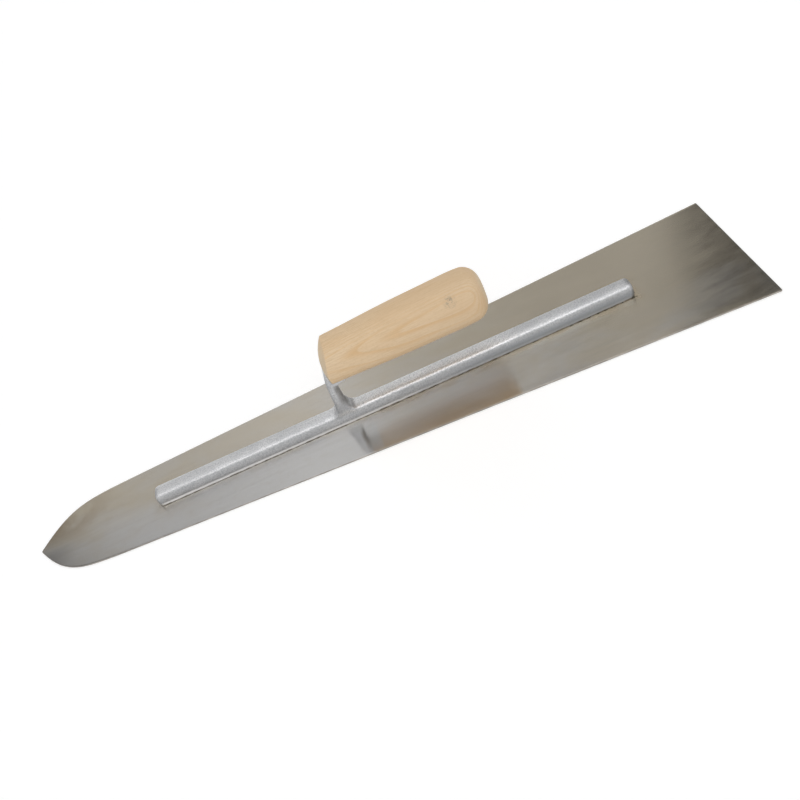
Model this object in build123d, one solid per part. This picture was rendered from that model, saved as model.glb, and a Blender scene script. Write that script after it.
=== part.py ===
"""Pointed concrete finishing trowel: a tapered steel blade riveted to a cast mounting with a wooden handle.

Millimetres. The blade lies in the XY plane with its toe towards -X and its heel towards +X, and +Z is up.
The origin is on the sole, midway between toe and heel.
"""

import os
from math import atan, cos, pi, radians, sin

from build123d import *

# Blade: a plate with straight tapering sides and a pointed toe.
blade_length = 600.0
heel_width = 130.0
toe_width = 70.0
blade_thickness = 1.2
toe_half_angle = 56.0
toe_length = 82.0
toe_arm = 44.0
nose_radius = 2.5
heel_corner_radius = 1.0

# Bar of the mounting, along the middle of the blade.
bar_front = -192.5
bar_back = 214.5
bar_width = 19.0
bar_height = 10.2
bar_lip = 1.2
bar_shoulder_width = 12.4
bar_shoulder_height = 9.3
bar_shoulder_radius = 2.6
bar_corner_radius = 5.0
bar_end_radius = 2.2
bar_end_reach = 30.0
edge_tolerance = 0.1

# Post, neck and ledge that carry the handle.
post_front = -30.4
post_back = -20.6
post_width = 15.0
post_front_flare = 5.0
post_back_flare = 8.0
neck_front = -27.6
neck_back = -22.2
neck_bend_radius = 40.0
ledge_top = 43.6
ledge_thickness = 2.4
ledge_back = -12.0
ledge_root_radius = 7.0
post_sink = 1.0
neck_bend_drop = 4.0
boss_radius = 6.5
boss_back = -12.0
boss_overlap = 1.0

# Rivets between blade and bar.
rivet_count = 9
rivet_radius = 2.0
rivet_length = 7.5
rivet_end_distance = 13.0

# Tang: a barbed steel rod cast into the boss.
tang_radius = 4.0
tang_height = 51.0
tang_front = -23.5
tang_back = 70.0
barb_depth = 0.6
barb_width = 1.5
barb_pitch = 12.0
barb_count = 6
barb_start = 0.0
ring_allowance = 1.0
bore_clearance = 0.05
bore_end_gap = 2.0

# Handle: a swelling wooden grip with a domed front end and a rounded butt.
handle_front = -23.5
handle_back = 109.0
handle_front_width = 30.5
handle_front_height = 34.8
handle_widest_width = 35.9
handle_widest_height = 40.9
handle_widest_share = 0.75
handle_front_axis = 60.8
handle_back_axis = 62.9
handle_squareness = 2.6
front_dome_radius = 38.0
front_lean = 9.6
blank_allowance = 3.0
butt_radius = 13.0

# How finely the handle is lofted: points round a section, and sections along the body and the butt.
section_points = 24
body_stations = 6
butt_stations = 5


def superellipse(width, height, point_count):
    """Points of a closed curve between an ellipse and a rectangle, about (0, 0)."""
    power = 2.0 / handle_squareness
    points = []
    for index in range(point_count):
        angle = 2.0 * pi * index / point_count
        c, s = cos(angle), sin(angle)
        y = width / 2.0 * abs(c) ** power * (1 if c >= 0 else -1)
        z = height / 2.0 * abs(s) ** power * (1 if s >= 0 else -1)
        points.append((y, z))
    return points


def blade_outline():
    """Half outline from the nose to the heel, as one curve and straight sides, mirrored about X."""
    toe_x = -blade_length / 2.0
    side_slope = (heel_width - toe_width) / 2.0 / blade_length
    angle = radians(toe_half_angle)
    # The nose fillet pulls the tip back, so the unrounded tip stands this far out.
    tip_x = toe_x - nose_radius * (1.0 / sin(angle) - 1.0)
    side_start = (toe_x + toe_length, toe_width / 2.0 + side_slope * toe_length)
    side_angle = atan(side_slope)
    first_arm = (tip_x + toe_arm * cos(angle), toe_arm * sin(angle))
    last_arm = (side_start[0] - toe_arm * cos(side_angle), side_start[1] - toe_arm * sin(side_angle))
    heel_x = blade_length / 2.0
    flank = Bezier((tip_x, 0), first_arm, last_arm, side_start)
    side = Line(side_start, (heel_x, heel_width / 2.0))
    heel = Line((heel_x, heel_width / 2.0), (heel_x, 0))
    half = make_face(Wire([flank, side, heel, Line((heel_x, 0), (tip_x, 0))]))
    return half + mirror(half, about=Plane.XZ)


def make_blade():
    plate = extrude(blade_outline(), blade_thickness)
    upright = plate.edges().filter_by(Axis.Z).sort_by(Axis.X)
    plate = fillet(upright[:1], nose_radius)
    heel_corners = plate.edges().filter_by(Axis.Z).sort_by(Axis.X)[-2:]
    plate = fillet(heel_corners, heel_corner_radius)
    return plate - make_rivets()


def rivet_places():
    first = bar_front + rivet_end_distance
    last = bar_back - rivet_end_distance
    return [first + (last - first) * index / (rivet_count - 1) for index in range(rivet_count)]


def make_rivets():
    """Countersunk heads flush with the sole, and shanks set into blind holes in the bar."""
    head_radius = rivet_radius + blade_thickness
    head_centre = Pos(0, 0, blade_thickness / 2.0)
    shank_height = rivet_length - blade_thickness
    shank_centre = Pos(0, 0, blade_thickness + shank_height / 2.0)
    rivet = head_centre * Cone(head_radius, rivet_radius, blade_thickness)
    rivet += shank_centre * Cylinder(rivet_radius, shank_height)
    return Compound([Pos(x, 0, 0) * rivet for x in rivet_places()])


def make_bar():
    """A low bar with a thin lip at its foot, sloping sides and a slightly crowned top."""
    foot = bar_width / 2.0
    shoulder = bar_shoulder_width / 2.0
    crown = ThreePointArc((-shoulder, bar_shoulder_height), (0, bar_height), (shoulder, bar_shoulder_height))
    sides = Polyline(
        (shoulder, bar_shoulder_height),
        (foot, bar_lip),
        (foot, 0),
        (-foot, 0),
        (-foot, bar_lip),
        (-shoulder, bar_shoulder_height),
    )
    section = make_face(Wire([*crown.edges(), *sides.edges()]))
    length = bar_back - bar_front
    bar = extrude(Plane((bar_front, 0, blade_thickness), x_dir=(0, 1, 0), z_dir=(1, 0, 0)) * section, length)
    shoulder_z = blade_thickness + bar_shoulder_height
    lowest, highest = shoulder_z - edge_tolerance, shoulder_z + edge_tolerance
    shoulders = bar.edges().filter_by(Axis.X).filter_by_position(Axis.Z, lowest, highest)
    bar = fillet(shoulders, bar_shoulder_radius)
    plan = Pos((bar_front + bar_back) / 2.0, 0, blade_thickness) * RectangleRounded(
        length, bar_width, bar_corner_radius
    )
    bar &= extrude(plan, bar_height)
    return soften_bar_ends(bar)


def soften_bar_ends(bar):
    """Rounds the rims of the two end faces, above the lip."""
    rim_reach = bar_corner_radius + edge_tolerance
    rims = []
    for edge in bar.edges():
        box = edge.bounding_box()
        at_front = box.min.X < bar_front + rim_reach and box.max.X < bar_front + bar_end_reach
        at_back = box.max.X > bar_back - rim_reach and box.min.X > bar_back - bar_end_reach
        above_lip = box.min.Z > blade_thickness + bar_lip + edge_tolerance
        if (at_front or at_back) and above_lip:
            rims.append(edge)
    return fillet(rims, bar_end_radius)


def make_post():
    """Side profile of post, neck and ledge in XZ, with a flared foot, cut to width and to a round top."""
    foot_z = blade_thickness + bar_height - post_sink
    front_foot = (post_front - post_front_flare, foot_z)
    front_waist = (post_front, foot_z + post_front_flare)
    neck_start = (neck_front, ledge_top - neck_bend_drop)
    neck_end = (neck_back, tang_height + post_width / 2.0)
    back_waist = (post_back, foot_z + post_back_flare)
    back_foot = (post_back + post_back_flare, foot_z)
    ledge_bottom = ledge_top - ledge_thickness
    ledge_root = (post_back, ledge_bottom - ledge_root_radius)
    ledge_inner = (post_back + ledge_root_radius, ledge_bottom)
    outline = [
        RadiusArc(front_foot, front_waist, -post_front_flare),
        Line(front_waist, neck_start),
        RadiusArc(neck_start, neck_end, neck_bend_radius),
        Polyline(
            neck_end,
            (neck_back, ledge_top),
            (ledge_back, ledge_top),
            (ledge_back, ledge_bottom),
            ledge_inner,
        ),
        RadiusArc(ledge_inner, ledge_root, -ledge_root_radius),
        Line(ledge_root, back_waist),
        RadiusArc(back_waist, back_foot, -post_back_flare),
        Line(back_foot, front_foot),
    ]
    side = make_face(Wire([edge for piece in outline for edge in piece.edges()]))
    post = extrude(Plane.XZ.offset(-post_width / 2.0) * side, post_width)
    return post & make_tongue()


def make_tongue():
    """Block along X with a half-round top, which rounds the top of the neck about the tang."""
    block = Pos(0, 0, tang_height / 2.0) * Box(blade_length, post_width, tang_height)
    return block + Pos(0, 0, tang_height) * Rot(0, 90, 0) * Cylinder(post_width / 2.0, blade_length)


def along_x(radius, start, end):
    """A cylinder at the height of the tang, from start to end along X."""
    return Pos((start + end) / 2.0, 0, tang_height) * Rot(0, 90, 0) * Cylinder(radius, end - start)


def make_tang():
    """Rod with ring grooves, which leave barbs that bite into the wood."""
    rod = along_x(tang_radius, tang_front, tang_back)
    for index in range(barb_count):
        start = barb_start + index * barb_pitch
        ring = along_x(tang_radius + ring_allowance, start, start + barb_width)
        rod -= ring - along_x(tang_radius - barb_depth, start, start + barb_width)
    return rod


def make_boss():
    """Round boss behind the neck, about the tang."""
    return along_x(boss_radius, neck_back - boss_overlap, boss_back)


def make_mounting():
    """Bar, post, neck, ledge and boss as one casting, with blind holes for the rivets."""
    casting = make_bar() + make_post() + make_boss()
    return casting - make_rivets() - make_tang()


def handle_section(x, inset):
    """Section of the handle at x, drawn in by an inset at the rounded butt."""
    share = (x - handle_front) / (handle_back - handle_front)
    swell = sin(0.5 * pi * share / handle_widest_share)
    width = handle_front_width + (handle_widest_width - handle_front_width) * swell - 2.0 * inset
    height = handle_front_height + (handle_widest_height - handle_front_height) * swell - 2.0 * inset
    axis = handle_front_axis + (handle_back_axis - handle_front_axis) * share
    plane = Plane((x, 0, axis), x_dir=(0, 1, 0), z_dir=(1, 0, 0))
    return plane * make_face(Spline(*superellipse(width, height, section_points), periodic=True))


def make_handle_blank():
    """Grip lofted through its sections, with a butt whose rim turns in on a quarter circle."""
    butt_start = handle_back - butt_radius
    sections = []
    blank_front = handle_front - blank_allowance
    for index in range(body_stations):
        x = blank_front + (butt_start - blank_front) * index / (body_stations - 1)
        sections.append(handle_section(x, 0.0))
    for index in range(1, butt_stations):
        angle = 0.5 * pi * index / butt_stations
        reach = butt_radius * sin(angle)
        sections.append(handle_section(butt_start + reach, butt_radius * (1.0 - cos(angle))))
    sections.append(handle_section(handle_back, butt_radius))
    return loft(sections)


def make_front_cutter():
    """What is cut off the front of the grip to leave a domed end that leans back."""
    lean = radians(front_lean)
    centre_x = handle_front + front_dome_radius * cos(lean)
    centre_z = handle_front_axis - front_dome_radius * sin(lean)
    depth = 2.0 * front_dome_radius
    span = 2.0 * depth
    block = Pos(centre_x - front_dome_radius, 0, centre_z) * Box(depth, span, span)
    return block - Pos(centre_x, 0, centre_z) * Sphere(front_dome_radius)


def make_handle():
    """Wooden grip, let in over the neck, ledge and boss, with a blind bore for the tang."""
    bore = along_x(tang_radius + bore_clearance, tang_front, tang_back + bore_end_gap)
    blank = make_handle_blank() - make_front_cutter()
    return blank - bore - make_post() - make_boss()


if __name__ == "__main__":
    os.makedirs("parts", exist_ok=True)
    nodes = {
        "blade": make_blade(),
        "blade_rivets": make_rivets(),
        "mounting": make_mounting(),
        "tang": make_tang(),
        "handle": make_handle(),
    }
    for name, solid in nodes.items():
        export_step(solid, f"parts/{name}.step")
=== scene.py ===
"""Looks of a pointed concrete finishing trowel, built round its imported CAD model, in metres."""

from math import asin, cos, pi, radians, sin

import bmesh
import bpy
import numpy as np
from mathutils import Matrix, Vector, noise


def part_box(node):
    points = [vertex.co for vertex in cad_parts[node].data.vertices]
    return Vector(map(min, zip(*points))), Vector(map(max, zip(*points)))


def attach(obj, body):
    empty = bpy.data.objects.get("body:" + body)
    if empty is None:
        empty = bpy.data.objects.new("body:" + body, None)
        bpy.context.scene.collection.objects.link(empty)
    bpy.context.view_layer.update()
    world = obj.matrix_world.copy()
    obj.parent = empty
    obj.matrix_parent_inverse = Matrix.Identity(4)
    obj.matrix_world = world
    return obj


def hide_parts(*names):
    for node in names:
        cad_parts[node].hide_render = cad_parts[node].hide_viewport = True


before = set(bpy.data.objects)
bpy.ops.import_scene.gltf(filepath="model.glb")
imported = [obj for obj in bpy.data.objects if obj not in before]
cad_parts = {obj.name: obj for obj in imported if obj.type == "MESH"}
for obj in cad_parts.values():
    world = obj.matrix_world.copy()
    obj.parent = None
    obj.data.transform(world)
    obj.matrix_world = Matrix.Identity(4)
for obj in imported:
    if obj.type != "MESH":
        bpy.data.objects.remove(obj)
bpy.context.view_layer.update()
BLADE_LOW, BLADE_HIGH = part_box("blade")
CAST_LOW, CAST_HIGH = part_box("mounting")

MM = 0.001

# Top of the blade, which the bar stands on, and the blade's tip.
FOOT = BLADE_HIGH.z
TOE = BLADE_LOW.x

# Camera: the side it looks from, its height and its roll in degrees, its distance and its aim.
VIEW_AZIMUTH = 5.832
VIEW_ELEVATION = 42.427
VIEW_ROLL = -27.881
VIEW_DISTANCE = 0.6769
AIM = Vector((0.01727, -0.00787, 0.0012))
LENS_MM = 39.1

# Studio: azimuth in degrees from +Y towards +X, and how bright the walls are there, low down and high up.
WALLS = [
    (-180, 0.64, 0.64),
    (-90, 0.60, 0.60),
    (-48, 0.25, 0.16),
    (-37, 0.26, 0.07),
    (-35.5, 0.44, 0.36),
    (-31.5, 0.84, 0.53),
    (-28, 0.84, 0.59),
    (-24, 0.77, 0.71),
    (-19, 0.81, 0.81),
    (-14, 0.87, 0.87),
    (-9, 0.84, 0.84),
    (-4, 0.71, 0.66),
    (1, 0.71, 0.55),
    (8, 0.66, 0.41),
    (14, 0.64, 0.43),
    (19.6, 0.76, 0.52),
    (21.6, 0.08, 0.05),
    (42, 0.11, 0.08),
    (75, 0.62, 0.62),
    (180, 0.64, 0.64),
]
# Sines of the elevations that those two columns stand for.
WALL_HEIGHTS = (0.60, 0.73)
# Brightness of the ceiling and of its greyer middle, and the sines of elevation over which each sets in.
CEILING = 1.62
CEILING_EDGE = (0.80, 0.90)
CEILING_MIDDLE = 0.80
CEILING_MIDDLE_EDGE = (0.91, 0.955)
# Soft key light over the near side: its brightness, its direction, and the cosines over which it sets in.
KEY_LIGHT = 2.7
KEY_PLACE = (0.05, -0.46, 0.886)
KEY_EDGE = (0.93, 0.985)
FLOOR_GLOW = 0.20
FLOOR_SIZE = 6.0
FLOOR_DROP = 0.02 * MM

# Blade mesh: spacing along X, rows across, the rounded edge and the crowded stations at nose and heel.
BLADE_STEP = 2.0 * MM
BLADE_ROWS = 64
EDGE_RADIUS = 0.28 * MM
EDGE_POINTS = 4
NOSE_REACH = 6.0 * MM
NOSE_STATIONS = 14
NOSE_GAP = 0.004 * MM
HEEL_GAP = 1.2 * MM
HEEL_RADII = (3.0, 1.8, 1.0, 0.62, 0.29, 0.08, 0.0)
LEAST_HALF_WIDTH = 0.05 * MM
OUTLINE_BAND = 0.1 * MM
STRAIGHT = 1e-12
# Dip of the free sheet, over what distance from the bar it sets in, and wear of the sole.
WAVE_DEPTH = 0.16 * MM
WAVE_REACH = 26.0 * MM
SOLE_WEAR = 0.03 * MM
# First and last point of the sole in a ring, bands of faces on the heel's edge, and material slots.
SOLE_FIRST = BLADE_ROWS + 2 * EDGE_POINTS + 1
SOLE_LAST = SOLE_FIRST + BLADE_ROWS
HEEL_BANDS = 3
FLAT_SLOT = 0
EDGE_SLOT = 1

# Steel: where along X or Y, or how far from the bar, its tarnish, stains and the painted dark reflection at
# its tip come or go, and its relief.
YELLOW_ACROSS = (-30.0 * MM, 24.0 * MM)
YELLOW_TO_HEEL = (-60.0 * MM, 240.0 * MM)
YELLOW_TO_TOE = (-250.0 * MM, -130.0 * MM)
STAIN_TO_HEEL = (-150.0 * MM, 180.0 * MM)
STAIN_REACH = 5.0 * MM
STAIN_EDGE = (-3.0 * MM, 6.0 * MM)
BAR_LINE_EDGE = (0.3 * MM, 1.1 * MM)
TOP_SKIN = 0.3 * MM
FLANK_ALONG = (TOE + 10.0 * MM, TOE + 80.0 * MM)
FLANK_ACROSS = (-6.0 * MM, 16.0 * MM)
TIP_PAINTED_DARK_ALONG = (TOE, TOE + 36.0 * MM)
TIP_PAINTED_DARK_ACROSS = (-13.0 * MM, 1.0 * MM)
GROOVE_DEPTH = 0.0003 * MM
DENT_DEPTH = 0.008 * MM
NICK_DEPTH = 0.03 * MM

# Casting mesh: its voxels, and the lip along the bar's foot.
VOXEL = 0.6 * MM
LIP_HEIGHT = 1.2 * MM
LIP_DEPTH = 1.3 * MM
LIP_FADE = 1.9 * MM
LIP_BAND = (0.05 * MM, 8.5 * MM)
LIP_ASIDE = 5.2 * MM
LIP_FROM_END = 4.0 * MM
# Share of the lip's depth at x = 0, and how much it gains at the toe end and loses at the heel end.
LIP_MIDDLE = 0.75
LIP_LEAN = 0.35
# Post: its faces towards toe and heel, its side, how square its edges are, and how far out points move.
POST_FRONT = -31.2 * MM
POST_BACK = -20.4 * MM
POST_SIDE = CAST_HIGH.y * 15.0 / 19.0
POST_FRONT_POWER = 3.6
POST_BACK_POWER = 2.3
POST_REACH = 1.25
# Where rounding and smoothing set in or end. A pair also holds the length over which that happens.
POST_LOW = (15.0 * MM, 6.0 * MM)
POST_TOP = (41.0 * MM, 3.0 * MM)
UPPER_LOW = (9.0 * MM, 3.0 * MM)
SHOULDER_LOW = (7.5 * MM, 1.5 * MM)
SHOULDER_TOP = 13.5 * MM
JOINT_X = -25.5 * MM
JOINT_REACH = 16.0 * MM
JOINT_LOW = (9.0 * MM, 1.0 * MM)
JOINT_TOP = (19.0 * MM, 5.0 * MM)
BAR_END = (6.0 * MM, 5.0 * MM)
FREE_ABOVE = 0.35 * MM
# How far each round of smoothing moves a point, and the rounds given to each part of the casting.
VOXEL_SHARE = 0.5
SIDE_SHARE = 0.35
SMOOTH_SHARE = 0.6
VOXEL_ROUNDS = 3
SIDE_ROUNDS = 4
SHOULDER_ROUNDS = 14
JOINT_ROUNDS = 14
END_ROUNDS = 10
# Parting ridge: distance from the bar's toe end, height, width, and the side and heights that it spans.
RIDGE_PLACE = 56.7 * MM
RIDGE_HEIGHT = 0.28 * MM
RIDGE_WIDTH = 0.55 * MM
RIDGE_ASIDE = (3.0 * MM, 3.0 * MM)
RIDGE_BAND = (3.0 * MM, 10.0 * MM)
# Cast skin: fine and broad waves in millimetres, their shares sideways and down, and where it sets in.
SKIN_FINE = 0.05
SKIN_BROAD = 0.10
SKIN_ASIDE = 0.9
SKIN_DOWN = 0.6
SKIN_LOW = (1.6 * MM, 1.0 * MM)

# Alloy: heights above the foot, or stretches of X, where the painted light on its top, its shade, the painted
# light on its lip and its grime come or go.
TOP_FROM = (7.5 * MM, 9.0 * MM)
TOP_TO = (10.5 * MM, 13.0 * MM)
TOP_PAINTED_LIGHT_FROM = (-60.0 * MM, -10.0 * MM)
TOP_PAINTED_LIGHT_TO = (95.0 * MM, 130.0 * MM)
SHADE_ALONG = (20.0 * MM, 120.0 * MM)
SHADE_UP = (3.0 * MM, 9.0 * MM)
LIP_PAINTED_LIGHT_UP = (1.2 * MM, 2.8 * MM)
LIP_PAINTED_LIGHT_ALONG = (-10.0 * MM, 60.0 * MM)
GRIME_UP = (0.1 * MM, 1.3 * MM)
GRAIN_DEPTH = 0.20 * MM
SCUFF_DEPTH = 0.05 * MM

# Wood: the pith that its rings turn about, the rings and how they wander, the weathering and the relief.
PITH_Y = 60.0 * MM
PITH_Z = 52.0 * MM
RING_WIDTH = 1.25 * MM
RING_BEND = 1.6 * MM
RING_DRIFT = 5.0 * MM
WEATHERED_ALONG = (-30.0 * MM, 105.0 * MM)
FIBRE_DEPTH = 0.05 * MM
RING_DEPTH = 0.03 * MM
# Worn smudge on the handle's near side.
SMUDGE_X = 82.2 * MM
SMUDGE_Z = 75.2 * MM
SMUDGE_EDGE = (1.0 * MM, 6.0 * MM)
SMUDGE_ACROSS = (0.0, -8.0 * MM)

# Relief of the rivets and the tang.
SCRATCH_DEPTH = 0.01 * MM
LATHE_DEPTH = 0.03 * MM

# Colours of the steel.
STEEL_GREY = (0.505, 0.500, 0.492)
STEEL_YELLOW = (0.490, 0.440, 0.352)
STEEL_STREAK = (0.36, 0.34, 0.31)
STEEL_MOTTLE = (0.40, 0.35, 0.28)
STAIN_BROWN = (0.42, 0.33, 0.21)
STAIN_DARK = (0.33, 0.27, 0.19)
BAR_LINE_BROWN = (0.17, 0.15, 0.11)
FLANK_BROWN = (0.35, 0.28, 0.20)
# Painted dark reflection on the near side of the toe's tip.
TIP_PAINTED_DARK_GREY = (0.29, 0.28, 0.27)
# Edge colours: darker steel as painted shadow where the sheet lies on the floor.
EDGE_SHADOW_DARK = (0.30, 0.28, 0.25)
EDGE_SHADOW_PALE = (0.46, 0.43, 0.39)
RIVET_DARK = (0.40, 0.39, 0.37)
RIVET_LIGHT = (0.54, 0.53, 0.51)
RIVET_SCRATCH = (0.68, 0.67, 0.65)
TANG_BLUE = (0.30, 0.31, 0.33)
TANG_GREY = (0.42, 0.41, 0.40)

# Colours of the cast alloy.
ALLOY_LIGHT = (0.71, 0.71, 0.715)
ALLOY_DULL = (0.61, 0.615, 0.625)
# Colour of the painted light on the top of the bar.
ALLOY_TOP_PAINTED_LIGHT = (0.93, 0.93, 0.935)
ALLOY_GRAIN = (0.40, 0.41, 0.43)
ALLOY_SCUFF = (0.84, 0.84, 0.84)
ALLOY_SHADE = (0.42, 0.45, 0.49)
# Colour of the painted light on the lip.
ALLOY_LIP_PAINTED_LIGHT = (0.93, 0.92, 0.90)
ALLOY_GRIME = (0.25, 0.21, 0.16)

# Colours of the wood.
WOOD_PALE = (0.785, 0.61, 0.41)
WOOD_WARM = (0.755, 0.555, 0.345)
WOOD_LATE = (0.69, 0.42, 0.18)
WOOD_FIBRE = (0.57, 0.395, 0.22)
WOOD_MOTTLE = (0.60, 0.41, 0.24)
WOOD_FLECK = (0.42, 0.27, 0.14)
WOOD_WEATHERED = (0.66, 0.48, 0.30)
END_PALE = (0.74, 0.61, 0.44)
END_DARK = (0.64, 0.50, 0.33)
SMUDGE_GREY = (0.20, 0.19, 0.17)


class NodeTree:
    """A node tree, with a short call for each kind of node."""

    def __init__(self, tree, coordinates):
        self.nodes = tree.nodes
        self.links = tree.links
        self.place = self.nodes.new("ShaderNodeTexCoord").outputs[coordinates]
        self.x, self.y, self.z = self.split(self.place)

    def feed(self, socket, value):
        """Sets a socket to a number or a colour, or links it to another node's output."""
        if isinstance(value, bpy.types.NodeSocket):
            self.links.new(value, socket)
        elif isinstance(value, tuple) and len(value) == 3 and socket.type == "RGBA":
            socket.default_value = (*value, 1.0)
        else:
            socket.default_value = value

    def split(self, vector):
        node = self.nodes.new("ShaderNodeSeparateXYZ")
        self.feed(node.inputs["Vector"], vector)
        return node.outputs["X"], node.outputs["Y"], node.outputs["Z"]

    def stretch(self, scale, shift):
        """Coordinates scaled along each axis, then shifted."""
        node = self.nodes.new("ShaderNodeMapping")
        self.feed(node.inputs["Vector"], self.place)
        self.feed(node.inputs["Scale"], scale)
        self.feed(node.inputs["Location"], shift)
        return node.outputs["Vector"]

    def noise(self, scale, detail=3.0, rough=0.5, distortion=0.0, shift=(0.0, 0.0, 0.0)):
        """Cloudy texture with its own scale along each axis."""
        node = self.nodes.new("ShaderNodeTexNoise")
        self.feed(node.inputs["Vector"], self.stretch(scale, shift))
        self.feed(node.inputs["Scale"], 1.0)
        self.feed(node.inputs["Detail"], detail)
        self.feed(node.inputs["Roughness"], rough)
        self.feed(node.inputs["Distortion"], distortion)
        return node.outputs["Fac"]

    def cells(self, scale):
        """Distance to the nearest of many scattered points."""
        node = self.nodes.new("ShaderNodeTexVoronoi")
        self.feed(node.inputs["Vector"], self.stretch(scale, (0.0, 0.0, 0.0)))
        self.feed(node.inputs["Scale"], 1.0)
        return node.outputs["Distance"]

    def math(self, kind, first, second=0.0):
        """One arithmetic step."""
        node = self.nodes.new("ShaderNodeMath")
        node.operation = kind
        self.feed(node.inputs[0], first)
        self.feed(node.inputs[1], second)
        return node.outputs["Value"]

    def plus(self, first, second):
        return self.math("ADD", first, second)

    def minus(self, first, second):
        return self.math("SUBTRACT", first, second)

    def times(self, first, second):
        return self.math("MULTIPLY", first, second)

    def length(self, first, second):
        """Length of a vector with these two components."""
        return self.math("SQRT", self.plus(self.math("POWER", first, 2.0), self.math("POWER", second, 2.0)))

    def fade(self, value, start, end, low=0.0, high=1.0):
        """low up to start, high from end on, and smooth between."""
        node = self.nodes.new("ShaderNodeMapRange")
        node.interpolation_type = "SMOOTHSTEP"
        self.feed(node.inputs["Value"], value)
        self.feed(node.inputs["From Min"], start)
        self.feed(node.inputs["From Max"], end)
        self.feed(node.inputs["To Min"], low)
        self.feed(node.inputs["To Max"], high)
        return node.outputs["Result"]

    def blend(self, share, first, second):
        """The first colour, with a share of the second mixed in."""
        node = self.nodes.new("ShaderNodeMix")
        node.data_type = "RGBA"
        self.feed(node.inputs[0], share)
        self.feed(node.inputs[6], first)
        self.feed(node.inputs[7], second)
        return node.outputs[2]


class Shader(NodeTree):
    """One material and its node tree, in object coordinates."""

    def __init__(self, name):
        self.material = bpy.data.materials.new(name)
        self.material.use_nodes = True
        super().__init__(self.material.node_tree, "Object")

    def bump(self, height, depth, below=None):
        """Relief of a given depth in metres, over an earlier relief."""
        node = self.nodes.new("ShaderNodeBump")
        self.feed(node.inputs["Height"], height)
        self.feed(node.inputs["Strength"], 1.0)
        self.feed(node.inputs["Distance"], depth)
        if below:
            self.feed(node.inputs["Normal"], below)
        return node.outputs["Normal"]

    def set(self, **values):
        """Sets the surface's sockets; Base_Color stands for Base Color."""
        surface = self.nodes["Principled BSDF"]
        for name, value in values.items():
            self.feed(surface.inputs[name.replace("_", " ")], value)
        return self.material


def link_object(name, data):
    piece = bpy.data.objects.new(name, data)
    bpy.context.scene.collection.objects.link(piece)
    return piece


def smoothstep(value):
    value = np.clip(value, 0.0, 1.0)
    return value * value * (3.0 - 2.0 * value)


def ramp_up(value, start, length):
    """0 up to start, and 1 once length past it."""
    return smoothstep((value - start) / length)


def ramp_down(value, end, length):
    """1 until length before end, and 0 from end on."""
    return smoothstep((end - value) / length)


def grey(brightness):
    return (brightness, brightness, brightness)


# Blade -------------------------------------------------------------------------------------------


def on_or_under(first, middle, last):
    """Whether the middle point lies on or under the line from first to last."""
    rise = (middle[1] - first[1]) * (last[0] - first[0])
    return rise <= (last[1] - first[1]) * (middle[0] - first[0]) + STRAIGHT


def blade_outline():
    """Half width against x, from the convex outline of the CAD blade's top face."""
    corners = (v.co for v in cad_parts["blade"].data.vertices)
    hull = []
    for x, y in sorted({(co.x, co.y) for co in corners if co.z > FOOT - OUTLINE_BAND}):
        while len(hull) > 1 and on_or_under(hull[-2], hull[-1], (x, y)):
            hull.pop()
        hull.append((x, y))
    return np.array(hull).T


def sheet_wave(x, y):
    """How far the rolled sheet dips at a point, none of it under the bar."""
    beyond = max(CAST_LOW.x - x, x - CAST_HIGH.x, 0.0)
    aside = max(abs(y) - CAST_HIGH.y, 0.0)
    free = float(smoothstep((beyond**2 + aside**2) ** 0.5 / WAVE_REACH))
    broad = noise.noise(Vector((x * 11.0, y * 16.0, 0.3)))
    fine = noise.noise(Vector((x * 30.0, y * 42.0, 4.1)))
    return WAVE_DEPTH * free * (0.5 + 0.42 * broad + 0.10 * fine)


def sole_wear(x, y):
    """How much is worn off the sole at a point."""
    return SOLE_WEAR * (1.0 + 0.6 * noise.noise(Vector((x * 40.0, y * 60.0, 9.0))))


def blade_section(x, half_width, bottom, top):
    """Closed ring: the top from -Y to +Y, round that edge, back along the sole, and round the other edge."""
    radius = min(EDGE_RADIUS, half_width / 2.0)
    inner = half_width - radius
    rows = [inner * (2.0 * i / BLADE_ROWS - 1.0) for i in range(BLADE_ROWS + 1)]
    angles = [0.5 * pi * i / EDGE_POINTS for i in range(1, EDGE_POINTS + 1)]
    arc = [(inner + radius * sin(angle), radius * (1.0 - cos(angle))) for angle in angles]
    far_top = top - sheet_wave(x, inner)
    near_top = top - sheet_wave(x, -inner)
    worn = bottom + SOLE_WEAR
    return [
        *((x, y, top - sheet_wave(x, y)) for y in rows),
        *((x, out, far_top - drop) for out, drop in arc),
        *((x, out, worn + drop) for out, drop in reversed(arc)),
        *((x, y, bottom + sole_wear(x, y)) for y in reversed(rows)),
        *((x, -out, worn + drop) for out, drop in arc),
        *((x, -out, near_top - drop) for out, drop in reversed(arc)),
    ]


def blade_stations():
    """Places along X, close together at the nose and again at the rounded heel edge."""
    nose = [TOE + NOSE_REACH * (i / NOSE_STATIONS) ** 2 for i in range(NOSE_STATIONS)]
    nose[0] = TOE + NOSE_GAP
    count = int((BLADE_HIGH.x - TOE - NOSE_REACH) / BLADE_STEP)
    body = np.linspace(TOE + NOSE_REACH, BLADE_HIGH.x - HEEL_GAP, count)
    heel = [BLADE_HIGH.x - EDGE_RADIUS * reach for reach in HEEL_RADII]
    return [*nose, *body, *heel]


def blade_rings():
    """Cross-sections from nose to heel, thinner where the heel's edge rounds over."""
    outline_x, outline_y = blade_outline()
    rings = []
    for x in blade_stations():
        half_width = max(float(np.interp(x, outline_x, outline_y)), LEAST_HALF_WIDTH)
        over = max(x - (BLADE_HIGH.x - EDGE_RADIUS), 0.0) / EDGE_RADIUS
        inset = EDGE_RADIUS * (1.0 - cos(asin(min(over, 1.0))))
        rings.append(blade_section(x, half_width, BLADE_LOW.z + inset, BLADE_HIGH.z - inset))
    return rings


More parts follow.
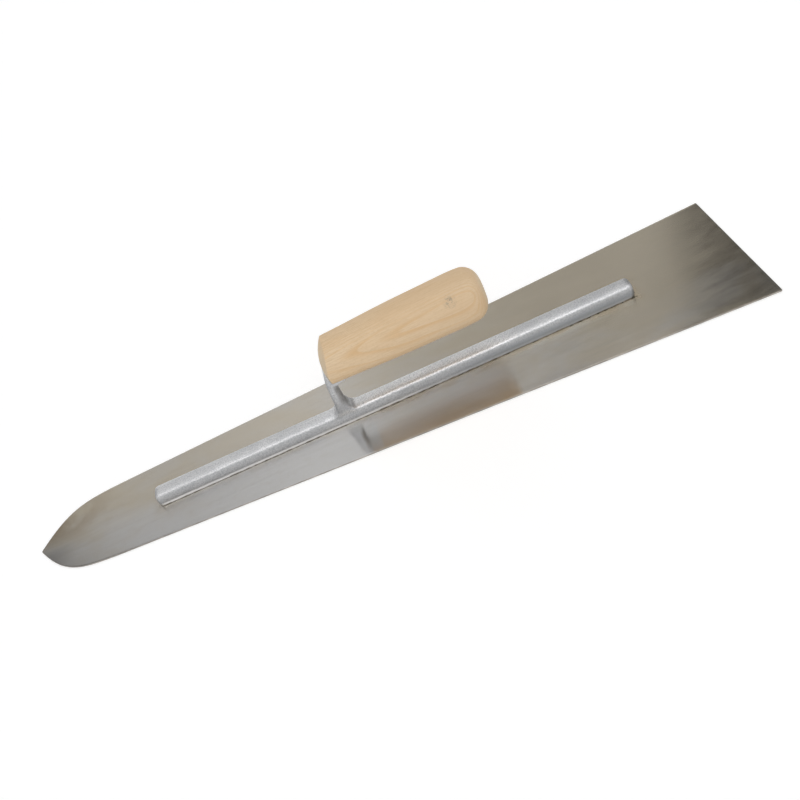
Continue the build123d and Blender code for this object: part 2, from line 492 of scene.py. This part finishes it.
def side_faces(count, size):
    """Faces between neighbouring rings, and the material slot of each."""
    faces = []
    slots = []
    for i in range(count - 1):
        for j in range(size):
            k = (j + 1) % size
            faces.append((i * size + j, i * size + k, (i + 1) * size + k, (i + 1) * size + j))
            rim = BLADE_ROWS <= j < SOLE_FIRST or j >= SOLE_LAST
            slots.append(EDGE_SLOT if rim or i >= count - 1 - HEEL_BANDS else FLAT_SLOT)
    return faces, slots


def end_faces(start, size):
    """Faces that close the ring beginning at start: a strip from top to sole, and one face at each edge."""
    strip = [(start + j, start + SOLE_LAST - j) for j in range(BLADE_ROWS + 1)]
    faces = [(a, b, c, d) for (a, d), (b, c) in zip(strip, strip[1:])]
    for side in (range(BLADE_ROWS, SOLE_FIRST + 1), range(SOLE_LAST, size + 1)):
        faces.append(tuple(start + j % size for j in side))
    return faces


def tidy_normals(mesh):
    work = bmesh.new()
    work.from_mesh(mesh)
    bmesh.ops.recalc_face_normals(work, faces=work.faces)
    work.to_mesh(mesh)
    work.free()


def apply_modifiers(piece):
    """Replaces the mesh of a piece with what its modifiers make of it."""
    bpy.context.view_layer.update()
    made = bpy.data.meshes.new_from_object(piece.evaluated_get(bpy.context.evaluated_depsgraph_get()))
    piece.modifiers.clear()
    piece.data = made


def drill(piece, cutter):
    """Cuts another object's shape out of a piece."""
    cut = piece.modifiers.new("cut", "BOOLEAN")
    cut.object = cutter
    cut.solver = "EXACT"
    apply_modifiers(piece)


def make_blade(material, edge_material):
    """Rolled steel plate with slightly rounded edges, darker as painted shadow where the sheet lies on the
    floor, a faint wave and its rivet holes.
    """
    rings = blade_rings()
    size = len(rings[0])
    faces, slots = side_faces(len(rings), size)
    ends = end_faces(0, size)
    ends += [tuple(reversed(face)) for face in end_faces((len(rings) - 1) * size, size)]
    mesh = bpy.data.meshes.new("blade_plate")
    mesh.from_pydata([point for ring in rings for point in ring], [], faces + ends)
    mesh.materials.append(material)
    mesh.materials.append(edge_material)
    mesh.polygons.foreach_set("material_index", slots + [EDGE_SLOT] * len(ends))
    tidy_normals(mesh)
    piece = link_object("blade_plate", mesh)
    drill(piece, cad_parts["blade_rivets"])
    piece.data.polygons.foreach_set("use_smooth", [True] * len(piece.data.polygons))
    return piece


def steel_colour(s):
    """Cloudy grey steel, yellower on the far half and towards both ends, with faint lengthwise streaks."""
    clouds = s.noise((14.0, 26.0, 26.0), 4.0, 0.55, 0.5)
    streaks = s.noise((9.0, 520.0, 200.0), 4.0, 0.6)
    mottle = s.noise((160.0, 190.0, 190.0), 3.0, 0.6)
    sides = s.plus(s.fade(s.y, *YELLOW_ACROSS, 0.0, 0.62), s.fade(s.x, *YELLOW_TO_HEEL, 0.0, 0.80))
    uneven = s.plus(s.fade(s.x, *YELLOW_TO_TOE, 0.30, 0.0), s.fade(clouds, 0.35, 0.68, -0.16, 0.22))
    colour = s.blend(s.fade(s.plus(sides, uneven), 0.0, 1.15), STEEL_GREY, STEEL_YELLOW)
    colour = s.blend(s.fade(streaks, 0.42, 0.75, 0.0, 0.14), colour, STEEL_STREAK)
    return s.blend(s.fade(mottle, 0.45, 0.75, 0.0, 0.10), colour, STEEL_MOTTLE)


def distance_from_bar(s):
    """Distance outside the bar's footprint."""
    middle = (CAST_LOW.x + CAST_HIGH.x) / 2.0
    along = s.math("ABSOLUTE", s.minus(s.x, middle))
    beyond = s.math("MAXIMUM", s.minus(along, CAST_HIGH.x - middle), 0.0)
    aside = s.math("MAXIMUM", s.minus(s.math("ABSOLUTE", s.y), CAST_HIGH.y), 0.0)
    return s.length(beyond, aside)


def bar_stain(s, away):
    """How strong the stain at the bar's foot is, with a ragged edge."""
    ragged = s.noise((45.0, 90.0, 90.0), 4.0, 0.6)
    reach = s.fade(ragged, 0.35, 0.72, 0.0, STAIN_REACH)
    return s.fade(s.minus(away, reach), *STAIN_EDGE, 0.62, 0.0)


def bar_dark_line(s, away):
    """How dark the thin, broken line right beside the bar is."""
    fine = s.noise((210.0, 300.0, 300.0), 2.0, 0.6)
    return s.times(s.fade(away, *BAR_LINE_EDGE, 1.0, 0.0), s.fade(fine, 0.47, 0.60))


def toe_colour(s, colour):
    """Brown tarnish on the toe's far flank, and a darker grey tip on its near side that is a painted dark
    reflection.
    """
    flank = s.times(s.fade(s.x, *FLANK_ALONG, 0.8, 0.0), s.fade(s.y, *FLANK_ACROSS))
    flank = s.times(flank, s.fade(s.noise((50.0, 50.0, 50.0)), 0.30, 0.60))
    # The darker grey tip is a painted dark reflection.
    tip = s.times(s.fade(s.x, *TIP_PAINTED_DARK_ALONG, 0.85, 0.0), s.fade(s.y, *TIP_PAINTED_DARK_ACROSS, 1.0, 0.0))
    return s.blend(tip, s.blend(flank, colour, FLANK_BROWN), TIP_PAINTED_DARK_GREY)


def blade_material():
    """Rolled steel: a dull mirror brushed lengthwise, with a thin stain and a thin, broken dark line at the
    bar's foot.
    """
    s = Shader("blade_steel")
    away = distance_from_bar(s)
    on_top = s.fade(s.z, BLADE_LOW.z + TOP_SKIN, BLADE_HIGH.z - TOP_SKIN)
    heelward = s.times(s.fade(s.x, *STAIN_TO_HEEL, 0.35, 1.0), on_top)
    stain = s.times(bar_stain(s, away), heelward)
    rust = s.blend(s.noise((120.0, 160.0, 160.0), 2.0), STAIN_BROWN, STAIN_DARK)
    colour = s.blend(stain, steel_colour(s), rust)
    colour = s.blend(s.times(bar_dark_line(s, away), heelward), colour, BAR_LINE_BROWN)

    relief = s.bump(s.noise((16.0, 1900.0, 600.0), 3.0, 0.6), GROOVE_DEPTH)
    relief = s.bump(s.noise((30.0, 45.0, 45.0), 2.0), DENT_DEPTH, relief)
    smears = s.noise((20.0, 60.0, 60.0), 4.0, 0.6, 0.8)
    dullness = s.plus(s.fade(smears, 0.30, 0.75, 0.17, 0.22), s.times(stain, 0.20))

    # The grooves run along X, so reflections smear across them, along Y.
    across = s.nodes.new("ShaderNodeCombineXYZ")
    s.feed(across.inputs["Y"], 1.0)
    return s.set(Base_Color=toe_colour(s, colour), Metallic=1.0, Roughness=dullness, Anisotropic=0.9,
                 Normal=relief, Tangent=across.outputs["Vector"])


def edge_material():
    """Sheared edge of the sheet: duller steel in patches, with nicks, darker as painted shadow where the
    sheet lies on the floor.
    """
    s = Shader("blade_edge_steel")
    patches = s.noise((90.0, 90.0, 90.0), 4.0)
    nicks = s.noise((900.0, 900.0, 900.0))
    return s.set(Base_Color=s.blend(s.fade(patches, 0.35, 0.7), EDGE_SHADOW_DARK, EDGE_SHADOW_PALE), Metallic=0.9,
                 Roughness=s.fade(nicks, 0.3, 0.7, 0.35, 0.55), Normal=s.bump(nicks, NICK_DEPTH))


# Mounting ----------------------------------------------------------------------------------------


def smooth_points(points, edges, weight, rounds):
    """Moves each point towards the middle of its neighbours, by its weight."""
    count = np.bincount(edges.ravel(), minlength=len(points))[:, None]
    for _ in range(rounds):
        total = np.zeros_like(points)
        np.add.at(total, edges[:, 0], points[edges[:, 1]])
        np.add.at(total, edges[:, 1], points[edges[:, 0]])
        points = points + (total / np.maximum(count, 1) - points) * weight[:, None]
    return points


def cast_lip(points):
    """Steps the bar's long sides in above a thin lip, deeper towards the toe."""
    x, y, z = points.T
    above = z - FOOT - LIP_HEIGHT
    depth = LIP_DEPTH * (LIP_MIDDLE - LIP_LEAN * np.clip(x / CAST_HIGH.x, -1.0, 1.0))
    step = depth * np.exp(-np.clip(above, 0.0, None) / LIP_FADE)
    on_side = (above > LIP_BAND[0]) & (above < LIP_BAND[1]) & (np.abs(y) > LIP_ASIDE)
    inside = (x > CAST_LOW.x + LIP_FROM_END) & (x < CAST_HIGH.x - LIP_FROM_END)
    y = np.where(on_side & inside, np.sign(y) * (np.abs(y) - step), y)
    return np.stack([x, y, z], axis=1)


def round_post(points):
    """Rounds the post's four long edges, more at the back than at the front."""
    x, y, z = points.T
    centre = (POST_FRONT + POST_BACK) / 2.0
    u = (x - centre) / ((POST_BACK - POST_FRONT) / 2.0)
    v = y / POST_SIDE
    power = np.where(u > 0.0, POST_BACK_POWER, POST_FRONT_POWER)
    outer = np.maximum(np.abs(u), np.abs(v))
    norm = (np.abs(u) ** power + np.abs(v) ** power) ** (1.0 / power)
    pull = np.where(norm > 0.0, outer / np.maximum(norm, 1e-9), 1.0)
    share = ramp_up(z, *POST_LOW) * ramp_down(z, *POST_TOP) * (outer < POST_REACH)
    pull = 1.0 + (pull - 1.0) * share
    return np.stack([centre + (x - centre) * pull, y * pull, z], axis=1)


def soften(points, edges):
    """Steps in the lip, rounds the post, and smooths the voxel steps, shoulders, joint and bar ends."""
    free = (points[:, 2] > FOOT + FREE_ABOVE).astype(float)
    points = smooth_points(points, edges, VOXEL_SHARE * free, VOXEL_ROUNDS)
    points = round_post(cast_lip(points))
    sides = free * (SIDE_SHARE + SIDE_SHARE * ramp_up(points[:, 2], *UPPER_LOW))
    points = smooth_points(points, edges, sides, SIDE_ROUNDS)
    shoulder = ramp_up(points[:, 2], *SHOULDER_LOW) * (points[:, 2] < SHOULDER_TOP)
    points = smooth_points(points, edges, SMOOTH_SHARE * shoulder, SHOULDER_ROUNDS)
    near_post = np.abs(points[:, 0] - JOINT_X) < JOINT_REACH
    joint = free * near_post * ramp_up(points[:, 2], *JOINT_LOW) * ramp_down(points[:, 2], *JOINT_TOP)
    points = smooth_points(points, edges, SMOOTH_SHARE * joint, JOINT_ROUNDS)
    from_end = np.minimum(points[:, 0] - CAST_LOW.x, CAST_HIGH.x - points[:, 0])
    ends = SMOOTH_SHARE * free * ramp_down(from_end, *BAR_END)
    return smooth_points(points, edges, ends, END_ROUNDS)


def skin_height(x, y, z):
    """Uneven cast skin at a point, in millimetres."""
    fine = noise.noise(Vector((x * 260.0, y * 260.0, z * 260.0)))
    broad = noise.noise(Vector((x * 60.0, y * 90.0, z * 90.0)))
    return fine * SKIN_FINE + broad * SKIN_BROAD


def cast_marks(points):
    """A parting ridge on the bar's near side, and low, uneven waves of cast skin."""
    x, y, z = points.T
    off_ridge = (x - (CAST_LOW.x + RIDGE_PLACE)) / RIDGE_WIDTH
    ridge = RIDGE_HEIGHT * np.exp(-(off_ridge**2)) * ramp_up(-y, *RIDGE_ASIDE)
    y = y - ridge * (z > RIDGE_BAND[0]) * (z < RIDGE_BAND[1])
    skin = np.array([skin_height(*point) for point in zip(x, y, z)]) * MM
    free = ramp_up(z, *SKIN_LOW)
    y = y + skin * free * np.sign(y) * SKIN_ASIDE
    z = z - np.abs(skin) * free * SKIN_DOWN
    return np.stack([x, y, z], axis=1)


def make_mounting(material):
    """Casting with soft edges and a fillet where bar and post meet, from the CAD shape."""
    piece = link_object("mounting_casting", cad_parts["mounting"].data.copy())
    remesh = piece.modifiers.new("skin", "REMESH")
    remesh.mode = "VOXEL"
    remesh.voxel_size = VOXEL
    apply_modifiers(piece)
    mesh = piece.data
    points = np.zeros(len(mesh.vertices) * 3)
    mesh.vertices.foreach_get("co", points)
    edges = np.zeros(len(mesh.edges) * 2, dtype=np.int64)
    mesh.edges.foreach_get("vertices", edges)
    points = cast_marks(soften(points.reshape(-1, 3), edges.reshape(-1, 2)))
    points = np.clip(points, np.array(CAST_LOW), np.array(CAST_HIGH))
    mesh.vertices.foreach_set("co", points.ravel())
    mesh.materials.clear()
    mesh.materials.append(material)
    mesh.polygons.foreach_set("material_index", [0] * len(mesh.polygons))
    mesh.polygons.foreach_set("use_smooth", [True] * len(mesh.polygons))
    mesh.update()
    return piece


def up_from_foot(s, heights, low=0.0, high=1.0):
    """low up to the first height above the bar's foot, high from the second on."""
    return s.fade(s.z, FOOT + heights[0], FOOT + heights[1], low, high)


def painted_light_on_top(s):
    """How much painted light brightens the top of the bar, most of all under the handle, where the handle
    keeps the studio's light off.
    """
    on_top = s.times(up_from_foot(s, TOP_FROM), up_from_foot(s, TOP_TO, 1.0, 0.0))
    along = s.times(s.fade(s.x, *TOP_PAINTED_LIGHT_FROM, 0.20, 0.80), s.fade(s.x, *TOP_PAINTED_LIGHT_TO, 1.0, 0.15))
    return s.times(on_top, along)


def casting_material():
    """Bright cast aluminium: granular skin, pale scuffs, grime at the foot, and painted light on the lip and
    on the top of the bar.
    """
    s = Shader("cast_alloy")
    grains = s.noise((900.0, 900.0, 900.0), 2.0, 0.7)
    clouds = s.noise((35.0, 70.0, 70.0), 4.0, 0.6)
    drawn = s.noise((60.0, 420.0, 420.0), 3.0, 0.6)
    colour = s.blend(s.fade(clouds, 0.3, 0.7), ALLOY_LIGHT, ALLOY_DULL)
    # Painted light on the top of the bar, strongest under the handle.
    colour = s.blend(painted_light_on_top(s), colour, ALLOY_TOP_PAINTED_LIGHT)
    colour = s.blend(s.fade(grains, 0.36, 0.60, 0.60, 0.0), colour, ALLOY_GRAIN)
    colour = s.blend(s.fade(drawn, 0.52, 0.75, 0.0, 0.4), colour, ALLOY_SCUFF)

    # Bluer and darker low down towards the heel, lighter on the lip towards the toe as painted light, and
    # grimy at the foot.
    shade = s.times(s.fade(s.x, *SHADE_ALONG), up_from_foot(s, SHADE_UP, 1.0, 0.0))
    colour = s.blend(s.times(shade, 0.85), colour, ALLOY_SHADE)
    lip = s.times(up_from_foot(s, LIP_PAINTED_LIGHT_UP, 1.0, 0.0), s.fade(s.x, *LIP_PAINTED_LIGHT_ALONG, 0.8, 0.15))
    colour = s.blend(lip, colour, ALLOY_LIP_PAINTED_LIGHT)
    patchy = s.fade(s.noise((110.0, 110.0, 110.0)), 0.45, 0.62, 0.0, 0.8)
    colour = s.blend(s.times(up_from_foot(s, GRIME_UP, 1.0, 0.0), patchy), colour, ALLOY_GRIME)
    relief = s.bump(drawn, SCUFF_DEPTH, s.bump(grains, GRAIN_DEPTH))
    return s.set(Base_Color=colour, Metallic=1.0, Roughness=s.fade(clouds, 0.3, 0.7, 0.43, 0.52),
                 Normal=relief)


# Handle, rivets and tang -------------------------------------------------------------------------


def wood_rings(s):
    """Growth rings about a pith that runs along the grip, well outside its far side, and their late wood."""
    bend = s.noise((9.0, 30.0, 30.0))
    drift = s.noise((3.0, 12.0, 12.0), 2.0, shift=(1.7, 0.0, 0.0))
    strength = s.noise((10.0, 60.0, 60.0), 2.0, shift=(0.0, 3.0, 0.0))
    radius = s.length(s.minus(s.y, PITH_Y), s.minus(s.z, PITH_Z))
    radius = s.plus(radius, s.times(bend, RING_BEND))
    radius = s.plus(radius, s.times(drift, RING_DRIFT))
    ring = s.math("FRACT", s.math("DIVIDE", radius, RING_WIDTH))
    late = s.times(s.fade(ring, 0.42, 0.88), s.fade(ring, 0.90, 1.0, 1.0, 0.0))
    return ring, s.times(late, s.fade(strength, 0.30, 0.70, 0.25, 0.95))


def end_grain(s, colour):
    """Paler, dotted end grain on the domed front and the middle of the butt."""
    facing = s.split(s.nodes.new("ShaderNodeNewGeometry").outputs["Normal"])[0]
    dots = s.noise((500.0, 2600.0, 2600.0), 2.0, 0.6)
    end_colour = s.blend(s.fade(dots, 0.35, 0.65), END_PALE, END_DARK)
    return s.blend(s.times(s.fade(s.math("ABSOLUTE", facing), 0.72, 0.90), 0.75), colour, end_colour)


def smudged(s, colour):
    """Worn grey smudge near the butt, on the side towards -Y."""
    spread = s.length(s.minus(s.x, SMUDGE_X), s.minus(s.z, SMUDGE_Z))
    specks = s.fade(s.noise((420.0, 420.0, 420.0), 4.0, 0.7), 0.50, 0.60, 0.12, 1.0)
    mask = s.times(s.fade(spread, *SMUDGE_EDGE, 1.0, 0.0), specks)
    mask = s.times(mask, s.fade(s.y, *SMUDGE_ACROSS))
    return s.blend(s.times(mask, 0.62), colour, SMUDGE_GREY)


def wood_material():
    """Pale beech: growth rings lying along the grip, fine fibres, mottle and ray flecks."""
    s = Shader("handle_wood")
    ring, late = wood_rings(s)
    fibres = s.noise((45.0, 1300.0, 1300.0), 4.0, 0.65)
    patches = s.noise((22.0, 70.0, 70.0))
    mottle = s.noise((380.0, 900.0, 900.0), 3.0, 0.6)
    flecks = s.fade(s.cells((260.0, 1500.0, 900.0)), 0.05, 0.20, 1.0, 0.0)
    colour = s.blend(s.fade(patches, 0.3, 0.7), WOOD_PALE, WOOD_WARM)
    colour = s.blend(s.times(late, 0.82), colour, WOOD_LATE)
    colour = s.blend(s.fade(fibres, 0.40, 0.72, 0.0, 0.42), colour, WOOD_FIBRE)
    colour = s.blend(s.fade(mottle, 0.45, 0.70, 0.0, 0.26), colour, WOOD_MOTTLE)
    colour = s.blend(s.times(flecks, 0.30), colour, WOOD_FLECK)
    colour = s.blend(s.fade(s.x, *WEATHERED_ALONG, 0.0, 0.45), colour, WOOD_WEATHERED)
    colour = smudged(s, end_grain(s, colour))
    relief = s.bump(ring, RING_DEPTH, s.bump(fibres, FIBRE_DEPTH))
    return s.set(Base_Color=colour, Roughness=s.fade(fibres, 0.3, 0.7, 0.52, 0.68),
                 Specular_IOR_Level=0.35, Normal=relief)


def rivet_material():
    """Rivet heads ground flush: bright scratches one way over slightly darker steel."""
    s = Shader("rivet_steel")
    scratches = s.noise((60.0, 2500.0, 200.0), 3.0, 0.6)
    patches = s.noise((300.0, 300.0, 300.0))
    colour = s.blend(s.fade(patches, 0.3, 0.7), RIVET_DARK, RIVET_LIGHT)
    colour = s.blend(s.fade(scratches, 0.5, 0.7, 0.0, 0.5), colour, RIVET_SCRATCH)
    return s.set(Base_Color=colour, Metallic=1.0, Roughness=s.fade(scratches, 0.3, 0.7, 0.25, 0.42),
                 Normal=s.bump(scratches, SCRATCH_DEPTH))


def tang_material():
    """Turned steel rod: rings from the lathe and a thin blue-grey skin."""
    s = Shader("tang_steel")
    turned = s.noise((4000.0, 60.0, 60.0), 2.0, 0.6)
    skin = s.noise((120.0, 200.0, 200.0), 4.0)
    return s.set(Base_Color=s.blend(s.fade(skin, 0.3, 0.7), TANG_BLUE, TANG_GREY), Metallic=1.0,
                 Roughness=s.fade(turned, 0.3, 0.7, 0.32, 0.5), Normal=s.bump(turned, LATHE_DEPTH))


def finish_node(name, material):
    """Gives a CAD node that stays as it is a material of its own."""
    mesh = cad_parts[name].data
    mesh.materials.clear()
    mesh.materials.append(material)


# Studio ------------------------------------------------------------------------------------------


def make_camera():
    """Camera on the near side, rolled so that the blade climbs across the picture."""
    azimuth, elevation, roll = radians(VIEW_AZIMUTH), radians(VIEW_ELEVATION), radians(VIEW_ROLL)
    back = Vector((sin(azimuth) * cos(elevation), -cos(azimuth) * cos(elevation), sin(elevation)))
    level = (-back).cross(Vector((0, 0, 1))).normalized()
    upright = level.cross(-back)
    right = cos(roll) * level + sin(roll) * upright
    up = -sin(roll) * level + cos(roll) * upright
    data = bpy.data.cameras.new("camera")
    data.lens = LENS_MM
    camera = link_object("camera", data)
    turn = Matrix((right, up, back)).transposed().to_4x4()
    camera.matrix_world = Matrix.Translation(AIM + back * VIEW_DISTANCE) @ turn
    bpy.context.scene.camera = camera


def wall_ramp(s, turn, column):
    """Brightness of the walls all the way round, from one column of WALLS."""
    ramp = s.nodes.new("ShaderNodeValToRGB")
    stops = ramp.color_ramp.elements
    while len(stops) < len(WALLS):
        stops.new(0.5)
    for stop, row in zip(stops, WALLS):
        stop.position = row[0] / 360.0 + 0.5
        stop.color = (*grey(row[column]), 1.0)
    s.feed(ramp.inputs["Fac"], turn)
    return ramp.outputs["Color"]


def make_surround():
    """Studio walls of uneven brightness, a bright ceiling with a greyer middle, and a soft key light."""
    world = bpy.data.worlds.new("studio")
    bpy.context.scene.world = world
    world.use_nodes = True
    s = NodeTree(world.node_tree, "Generated")
    turn = s.nodes.new("ShaderNodeMapRange")
    s.feed(turn.inputs["Value"], s.math("ARCTAN2", s.x, s.y))
    s.feed(turn.inputs["From Min"], -pi)
    s.feed(turn.inputs["From Max"], pi)
    low_walls = wall_ramp(s, turn.outputs["Result"], 1)
    high_walls = wall_ramp(s, turn.outputs["Result"], 2)
    light = s.blend(s.fade(s.z, *WALL_HEIGHTS), low_walls, high_walls)
    light = s.blend(s.fade(s.z, *CEILING_EDGE), light, grey(CEILING))
    light = s.blend(s.fade(s.z, *CEILING_MIDDLE_EDGE), light, grey(CEILING_MIDDLE))
    towards_key = s.nodes.new("ShaderNodeVectorMath")
    towards_key.operation = "DOT_PRODUCT"
    s.feed(towards_key.inputs[0], s.place)
    s.feed(towards_key.inputs[1], Vector(KEY_PLACE).normalized())
    light = s.blend(s.fade(towards_key.outputs["Value"], *KEY_EDGE), light, grey(KEY_LIGHT))
    s.feed(s.nodes["Background"].inputs["Color"], light)


def make_floor():
    """White floor that glows a little, so that it reads as a clean background."""
    s = Shader("floor_white")
    bpy.ops.mesh.primitive_plane_add(size=FLOOR_SIZE, location=(0.0, 0.0, -FLOOR_DROP))
    floor = bpy.context.object
    floor.name = "floor"
    floor.data.materials.append(s.set(
        Base_Color=(0.95, 0.95, 0.95), Roughness=0.9, Specular_IOR_Level=0.1,
        Emission_Color=(1.0, 1.0, 1.0), Emission_Strength=FLOOR_GLOW))


make_camera()
make_surround()
make_floor()

blade = make_blade(blade_material(), edge_material())
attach(blade, "root")
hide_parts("blade")

mounting = make_mounting(casting_material())
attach(mounting, "root")
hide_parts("mounting")

finish_node("handle", wood_material())
finish_node("blade_rivets", rivet_material())
finish_node("tang", tang_material())

bpy.context.scene.view_settings.view_transform = "Standard"
